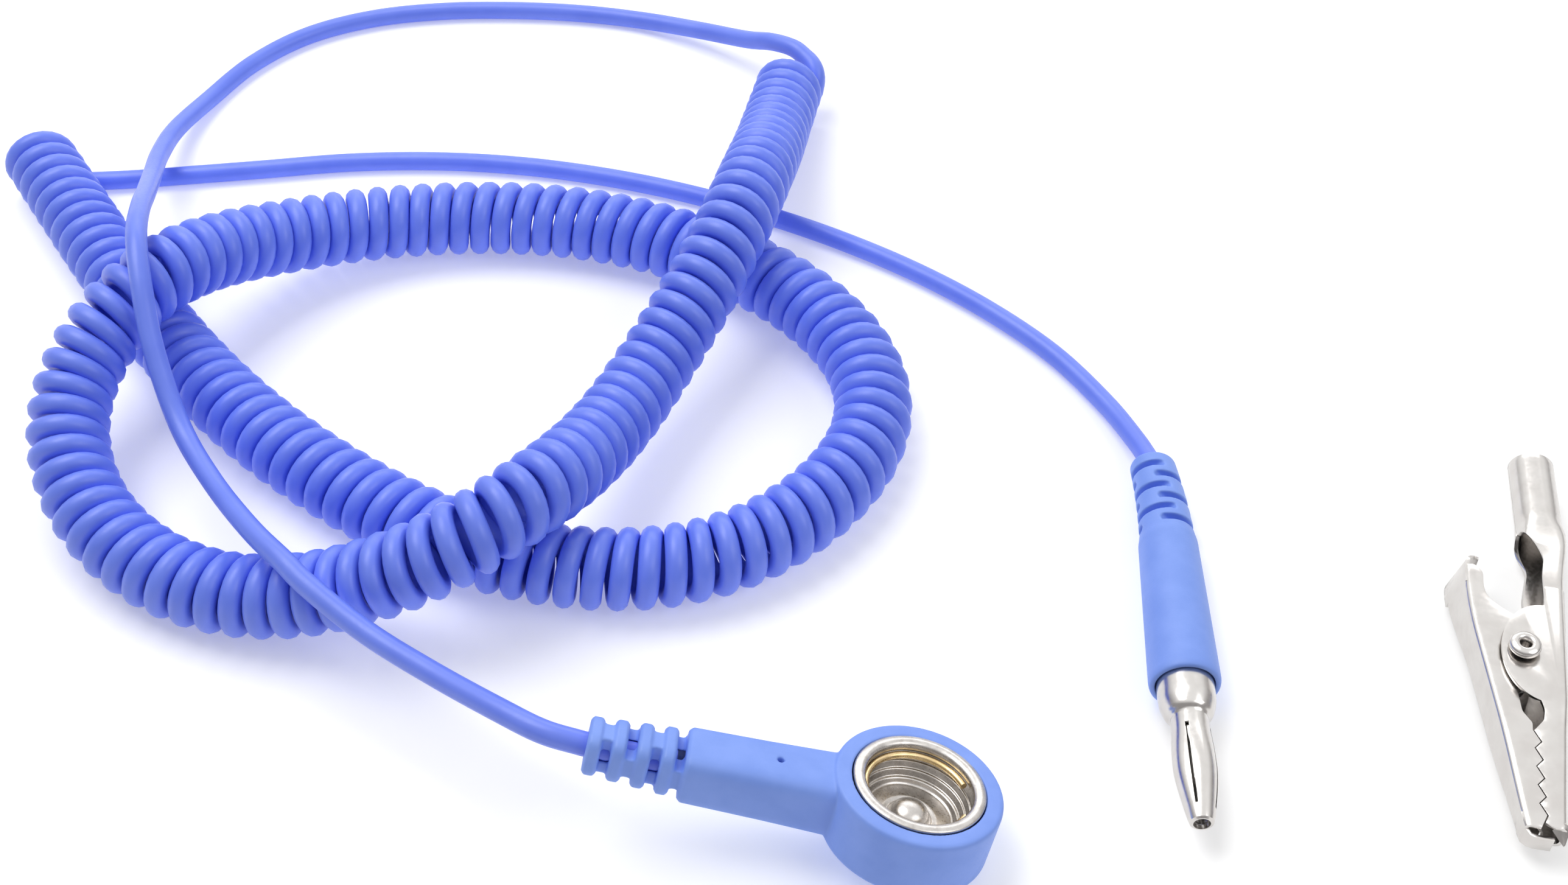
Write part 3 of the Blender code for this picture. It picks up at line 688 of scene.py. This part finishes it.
def plug_overmould():
    outline = rounded(
        [
            (0.0, 0.0), (2.62, 0.0, 0.45), (3.12, 11.5, 0.5), (3.32, 12.4, 0.5), (3.86, 32.0, 0.3),
            (3.72, 32.6, 0.3), (3.18, 32.6, 0.2), (3.18, 31.2), (1.95, 31.2), (1.95, 18.0),
            (0.0, 18.0),
        ],
        closed=False,
    )
    sleeve = turned("plug_sleeve", outline, PLUG @ ALONG_X, steps=128)
    cut(sleeve, rod("bore", (-1.0, 0, 0), (18.5, 0, 0), 1.27, PLUG), *boot_slots())
    soften(sleeve, 0.13, 3)
    to_plug = PLUG.inverted() @ sleeve.matrix_world
    back = to_plug.inverted()
    for vertex in sleeve.data.vertices:
        place = to_plug @ vertex.co
        share = max(0.0, 1.0 - place.x / MM / BOOT_LENGTH)
        place.y -= BOOT_BEND * MM * share**2
        vertex.co = back @ place
    return finish_piece(sleeve, OVERMOULD, "lead", "plug_overmould", sharp_deg=None)


def plug_pin():
    outline = rounded(
        [
            (0.0, 48.6), (0.45, 48.6, 0.1), (0.62, 48.3, 0.1), (0.62, 45.6, 0.2), (1.0, 44.8, 0.2),
            (1.0, 40.5), (1.45, 39.8), (1.45, 37.3), (1.95, 37.3, 0.1), (2.12, 36.9, 0.15),
            (2.55, 36.5, 0.3), (3.02, 35.2, 0.8), (3.07, 34.2), (3.07, 31.5), (1.90, 31.5),
            (1.90, 20.5), (0.75, 20.5), (0.75, 24.5), (0.0, 24.5),
        ],
        closed=False,
    )
    pin = turned("plug_body", outline, PLUG @ ALONG_X)
    return finish_piece(pin, NICKEL, "lead", "plug_pin_body")


def plug_cage():
    """Four bowed leaves between a neck ring and a tip ring."""
    outer = [
        (1.0, 50.0), (1.24, 49.85), (1.38, 49.4), (1.52, 48.7), (1.80, 47.4), (2.05, 46.2),
        (2.25, 45.0), (2.37, 44.0), (2.40, 43.0), (2.38, 42.0), (2.32, 41.0), (2.22, 40.0),
        (2.10, 39.0), (2.04, 38.2), (2.02, 37.0),
    ]
    inner = [
        (1.76, 37.0), (1.78, 38.2), (1.84, 39.0), (1.96, 40.0), (2.06, 41.0), (2.12, 42.0),
        (2.14, 43.0), (2.11, 44.0), (1.99, 45.0), (1.79, 46.2), (1.54, 47.4), (1.26, 48.7),
        (1.05, 49.3), (0.88, 49.5), (0.88, 50.0),
    ]
    turn = PLUG @ Matrix.Rotation(math.radians(CAGE_TURN_DEG), 4, "X")
    cage = turned("plug_cage", outer + inner, turn @ ALONG_X, steps=144, ring=True)
    slits = [
        box("slit_0", (38.6, -0.2, -4.0), (48.4, 0.2, 4.0), turn),
        box("slit_1", (38.6, -4.0, -0.2), (48.4, 4.0, 0.2), turn),
    ]
    cut(cage, *slits)
    for vertex in cage.data.vertices:
        x, y, z = vertex.co
        bow = max(0.0, 1.0 - ((z / MM - 43.4) / 5.2) ** 2)
        off_centre = (math.degrees(math.atan2(y, x)) % 90.0 - 45.0) / 45.0
        shrink = 1.0 - 0.10 * bow * off_centre**2
        vertex.co = (x * shrink, y * shrink, z)
    return finish_piece(cage, NICKEL, "lead", "plug_spring_cage", sharp_deg=30.0)


# ---------------------------------------------------------------- clip


def teeth(edge_x, first_y):
    """A zigzag edge towards the nose, from the last tooth to the first. It leans away from the spine."""
    points = []
    for i in range(TOOTH_COUNT, 0, -1):
        valley = TOOTH_PITCH * i
        tip = TOOTH_PITCH * (i - 0.6)
        points.append((edge_x - TOOTH_DEPTH / 2 - TOOTH_LEAN * valley, first_y + valley))
        points.append((edge_x + TOOTH_DEPTH / 2 - TOOTH_LEAN * tip, first_y + tip))
    points.append((edge_x, first_y))
    return points


def channel_section(back_x, open_x, low, high, bend):
    """A U of sheet with round bends: its back at back_x, its open side towards open_x."""
    inward = math.copysign(SHEET, open_x - back_x)
    inner_bend = max(0.1, bend - SHEET)
    return rounded(
        [
            (open_x, low), (back_x, low, bend), (back_x, high, bend), (open_x, high),
            (open_x, high - SHEET), (back_x + inward, high - SHEET, inner_bend),
            (back_x + inward, low + SHEET, inner_bend), (open_x, low + SHEET),
        ]
    )


def channel(name, places, section_at):
    """A channel whose section changes along the clip."""
    rings = [[(x * MM, y * MM, z * MM) for x, z in section_at(y)] for y in places]
    return solid(name, skin(rings), CLIP)


def strip(name, path, lows, highs, leans, thickness):
    """An upright strip of sheet along a path seen from above, with its own lower and upper edge.
    A lean is how far its lower edge stands out towards -X."""
    rings = []
    for i, ((x, y), low, high, lean) in enumerate(zip(path, lows, highs, leans)):
        ahead = Vector(path[min(i + 1, len(path) - 1)]) - Vector(path[max(i - 1, 0)])
        across = Vector((ahead.y, -ahead.x)).normalized() * thickness
        corners = [(x - lean, y, low), (x - lean + across.x, y + across.y, low)]
        corners += [(x + across.x, y + across.y, high), (x, y, high)]
        rings.append([Vector(corner) * MM for corner in corners])
    return solid(name, skin(rings), CLIP)


def ease(value, start, end):
    t = min(1.0, max(0.0, (value - start) / (end - start)))
    return t * t * (3 - 2 * t)


def nose_taper(y):
    """How much both edges of either jaw close in towards the nose."""
    return 1.0 - ease(y, 0.0, 14.0)


def neck_section(y, steps=56):
    """A ring of the neck and barrel: the channel narrows, and its free edges curl into a tube."""
    to_neck = ease(y, 30.0, 34.0)
    to_barrel = ease(y, 35.5, 41.0)
    half_z = 3.3 - 0.75 * ease(y, 31.0, 41.0)
    centre_x = -1.95 + 0.8 * ease(y, 31.0, 41.0) - 0.07 * max(0.0, y - 41.0)
    half_x = 2.45 + 0.1 * to_barrel
    power = 7.0 - 5.0 * ease(y, 36.0, 43.0)
    top_edge = centre_x + 0.2 - 0.2 * to_neck - 2.58 * ease(y, 35.0, 41.0)
    low_edge = centre_x + 0.2 - 1.0 * to_neck - 1.78 * ease(y, 37.0, 41.0)

    def end_angle(edge_x):
        share = min(0.99995, abs(edge_x - centre_x) / half_x) ** (power / 2)
        angle = math.acos(share)
        return angle if edge_x > centre_x else math.pi - angle

    start, end = -end_angle(low_edge), end_angle(top_edge)

    def side(inset):
        points = []
        for k in range(steps + 1):
            angle = start + (end - start) * k / steps
            c, s = math.cos(angle), math.sin(angle)
            x = centre_x + (half_x - inset) * math.copysign(abs(c) ** (2 / power), c)
            z = 3.3 + (half_z - inset) * math.copysign(abs(s) ** (2 / power), s)
            points.append((x * MM, y * MM, z * MM))
        return points

    return side(0.0) + list(reversed(side(SHEET)))


def rivet_hole():
    """What is cut away for the rivet, right through the clip."""
    return rod("hole", (RIVET_X, RIVET_Y, -1.0), (RIVET_X, RIVET_Y, 8.0), RIVET_HOLE_RADIUS, CLIP)


def neck_and_barrel():
    places = [29.9, 30.4, *[30.8 + 0.35 * i for i in range(36)], *[44.0 + 1.4 * i for i in range(6)]]
    rings = [neck_section(y) for y in [*places, BARREL_END_Y]]
    return solid("neck_and_barrel", skin(rings), CLIP)


def barrel_jaw():
    ear = arc((-1.9, RIVET_Y), 4.5, 6.4, 92, 262, 40)
    edge = rounded(
        [
            (0.8, NOSE_Y), (0.8, 31.0), (-1.75, 31.0), (-1.8, 28.4, 0.4), *ear, (-2.6, 15.8, 0.6),
            (-2.1, 14.6, 0.4), (-2.15, 13.4, 0.3), *teeth(-2.05, 1.5), (-1.2, NOSE_Y, 0.3),
        ],
        steps=4,
    )

    def section_at(y):
        """The jaw is as tall as the lever at its teeth, and taller where its ears hold the lever."""
        squeeze = 0.7 * (1.0 - ease(y, 12.0, 17.0)) + nose_taper(y)
        back = 0.5 - 0.3 * (1.0 - ease(y, 0.0, 28.0))
        return channel_section(back, -8.0, squeeze, JAW_HEIGHT - squeeze, 0.9)

    places = [*[1.0 + 1.1 * i for i in range(10)], *[12.0 + 0.5 * i for i in range(11)], 31.0]
    jaw = channel("clip_jaw_with_barrel", places, section_at)
    combine(jaw, [prism("edge", edge, -1.0, 8.0, CLIP)], "INTERSECT")
    beak = [(-0.4, 1.9, 4.95), (0.4, 1.4, 4.9), (0.2, 0.3, 3.3), (0.05, 0.15, 3.2), (-1.3, 1.1, 4.3)]
    under = [(x, y + 0.28, z - 0.29) for x, y, z in beak]
    nose = solid("nose", skin([[Vector(p) * MM for p in side] for side in (beak, under)]), CLIP)
    join(jaw, neck_and_barrel(), nose)
    cut(jaw, rivet_hole())
    edge_round(jaw, 0.07)
    return finish_piece(jaw, NICKEL, "clip", "clip_barrel_jaw")


def lever_back(y):
    """The lever's back slants away from the spine and turns along it towards the thumb end."""
    return -4.1 - 0.2116 * (y - 0.9) + 0.0099 * max(0.0, y - 23.0) ** 2


def thumb_flare(y):
    """How far the lower edge of the back stands out, towards the thumb end."""
    return 1.2 * ease(y, 22.0, 33.0)


def lever_section(y):
    back = lever_back(y)
    low = LEVER_LOW + nose_taper(y)
    high = LEVER_HIGH - nose_taper(y)
    lean = thumb_flare(y) / (high - low)
    section = channel_section(back, back + 10.0, low, high, 0.8)
    return [(x - lean * (high - z), z) for x, z in section]


def lever_jaw():
    """A channel between the ears. Its back slants from the nose to the thumb end."""
    edge = rounded(
        [
            (-13.0, 0.7), (-13.0, 33.3), (-8.9, 33.3, 0.4), (-8.05, 32.4, 0.5), (-8.0, 30.0, 1.0),
            (-7.4, 28.7, 0.8), (-5.5, 27.3, 0.8), (-3.4, 26.3, 0.8), (-2.3, 24.5, 0.8),
            (-2.0, RIVET_Y, 1.0), (-2.6, 18.5, 1.0), (-4.7, 16.6, 0.3), (-4.3, 14.2, 0.3),
            (-3.3, 12.9, 0.2), *teeth(-2.2, 1.5)[:-1], (-2.3, 1.3, 0.2), (-2.5, 0.7, 0.2),
        ],
        steps=4,
    )
    jaw = channel("clip_lever", [0.9 + 1.08 * i for i in range(31)], lever_section)
    combine(jaw, [prism("edge", edge, -1.0, 8.0, CLIP)], "INTERSECT")
    curl_arc = arc((-8.42, 33.1), 1.48, 2.3, 180, 84, 12)
    thumb = [(lever_back(31.0), 31.0), (lever_back(32.2), 32.2), *curl_arc]
    lows = [LEVER_LOW, LEVER_LOW, *[LEVER_LOW + 1.6 * ease(i, 7, 13) for i in range(13)]]
    highs = [5.7, 5.7, *[5.75 - 0.9 * ease(i, 3, 12) for i in range(13)]]
    leans = [thumb_flare(31.0), thumb_flare(32.2)]
    leans += [1.2 * (1.0 - ease(i, 3, 12)) for i in range(13)]
    curl = strip("curl", thumb, lows, highs, leans, SHEET)
    front_path = [(-4.42, 2.4), (-4.22, 1.6), (-3.88, 0.9), (-3.3, 0.5), (-2.6, 0.35), (-0.9, 0.4)]
    front_lows = [2.4, 2.0, 1.75, 1.7, 1.7, 1.7]
    front_highs = [4.8, 4.6, 4.2, 3.8, 3.65, 3.65]
    upright = [0.0] * len(front_path)
    front = strip("front", front_path, front_lows, front_highs, upright, -SHEET)
    join(jaw, curl, front)
    cut(jaw, rivet_hole())
    edge_round(jaw, 0.07)
    return finish_piece(jaw, NICKEL, "clip_lever", "clip_lever_jaw")


def clip_rivet():
    outline = rounded(
        [
            (0.0, 5.6), (0.50, 5.6), (0.50, 7.3, 0.1), (0.66, 7.75, 0.2), (1.05, 7.95, 0.3),
            (1.70, 7.60, 0.35), (1.66, 6.95, 0.2), (0.95, 6.70), (0.95, -0.30), (1.55, -0.30, 0.1),
            (1.50, -0.55, 0.1), (0.0, -0.55),
        ],
        closed=False,
    )
    pin = turned("clip_pin", outline, RIVET, steps=72)
    return finish_piece(pin, NICKEL, "clip", "clip_rivet")


def clip_spring():
    """A torsion spring round the rivet. Its lower leg is on the barrel jaw and its upper on the lever."""
    radius, low, high, turns, per_turn = 1.75, 1.75, 4.85, 3.5, 28
    points = [(3.6, 8.6, low), (2.7, 4.3, low)]
    count = int(turns * per_turn)
    for i in range(count + 1):
        angle = -2 * math.pi * turns * i / count
        height = low + (high - low) * i / count
        points.append((radius * math.cos(angle), radius * math.sin(angle), height))
    points += [(-2.9, 4.3, high), (-4.0, 8.6, high)]
    spring = wire_mesh("clip_torsion_spring", [Vector(p) * MM for p in points], 0.28, RIVET, 10)
    put_in_world(spring, STEEL)
    spring.data.shade_smooth()
    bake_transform(spring)
    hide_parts("clip_spring")


# ---------------------------------------------------------------- inner parts, floor and light


def carried_over():
    """The parts inside the overmoulds keep their CAD shape and take these materials."""
    looks = {
        "snap_terminal_lug": TINNED, "resistor_lead_front": TINNED, "resistor_lead_rear": TINNED,
        "crimp_sleeve": TINNED, "conductor_end_snap": COPPER, "conductor_end_plug": COPPER,
        "safety_resistor": ENAMEL,
    }
    for node, look in looks.items():
        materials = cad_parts[node].data.materials
        materials.clear()
        materials.append(look)


def floor():
    bm = bmesh.new()
    bmesh.ops.create_grid(bm, x_segments=1, y_segments=1, size=4.0)
    table = solid("floor", bm)
    paper = material(
        "floor_paper", (0.86, 0.86, 0.86), (0.90, 0.90, 0.90), (0.7, 0.8), patch=6.0, grain=400.0,
    )
    shader = paper.node_tree.nodes["Principled BSDF"]
    shader.inputs["Emission Color"].default_value = (1.0, 1.0, 1.0, 1.0)
    shader.inputs["Emission Strength"].default_value = PAPER_GLOW
    table.data.materials.append(paper)


def area_light(name, at, target, size, power):
    data = bpy.data.lights.new(name, "AREA")
    data.shape = "RECTANGLE"
    data.size, data.size_y = size
    data.energy = power
    light = bpy.data.objects.new(name, data)
    light.location = at
    light.rotation_euler = (Vector(at) - Vector(target)).to_track_quat("Z", "Y").to_euler()
    bpy.context.scene.collection.objects.link(light)


def studio():
    """A sky that is brightest above and behind. Shiny surfaces mirror it stronger than it lights."""
    world = bpy.data.worlds.new("studio")
    world.use_nodes = True
    tree = world.node_tree
    place = tree.nodes.new("ShaderNodeTexCoord")
    split = tree.nodes.new("ShaderNodeSeparateXYZ")
    height = tree.nodes.new("ShaderNodeMath")
    height.operation = "MULTIPLY_ADD"
    height.inputs[1].default_value = 0.55
    ramp = tree.nodes.new("ShaderNodeValToRGB")
    ramp.color_ramp.elements[0].position = 0.30
    ramp.color_ramp.elements[0].color = (0.35, 0.34, 0.34, 1.0)
    ramp.color_ramp.elements[1].position = 0.75
    ramp.color_ramp.elements[1].color = (1.0, 1.0, 1.0, 1.0)
    tree.links.new(place.outputs["Generated"], split.inputs["Vector"])
    tree.links.new(split.outputs["Y"], height.inputs[0])
    tree.links.new(split.outputs["Z"], height.inputs[2])
    tree.links.new(height.outputs["Value"], ramp.inputs["Fac"])
    tree.links.new(ramp.outputs["Color"], tree.nodes["Background"].inputs["Color"])
    rays = tree.nodes.new("ShaderNodeLightPath")
    strength = tree.nodes.new("ShaderNodeMath")
    strength.operation = "MULTIPLY_ADD"
    strength.inputs[1].default_value = SHINE_BOOST
    strength.inputs[2].default_value = WORLD_STRENGTH
    tree.links.new(rays.outputs["Is Glossy Ray"], strength.inputs[0])
    tree.links.new(strength.outputs["Value"], tree.nodes["Background"].inputs["Strength"])
    bpy.context.scene.world = world
    middle = (-0.04, 0.04, 0.0)
    area_light("key", (-0.35, 0.25, 0.75), middle, (0.6, 0.5), KEY_POWER)
    area_light("fill", (0.55, -0.25, 0.60), middle, (0.5, 0.5), FILL_POWER)
    area_light("back", (0.10, 0.85, 0.45), middle, (0.9, 0.3), BACK_POWER)


floor()
studio()
cord, cord_length = cord_piece()
snap_overmould()
snap_socket()
sleeve = plug_overmould()
pin = plug_pin()
cage = plug_cage()
barrel_jaw()
lever_jaw()
clip_rivet()
clip_spring()
carried_over()
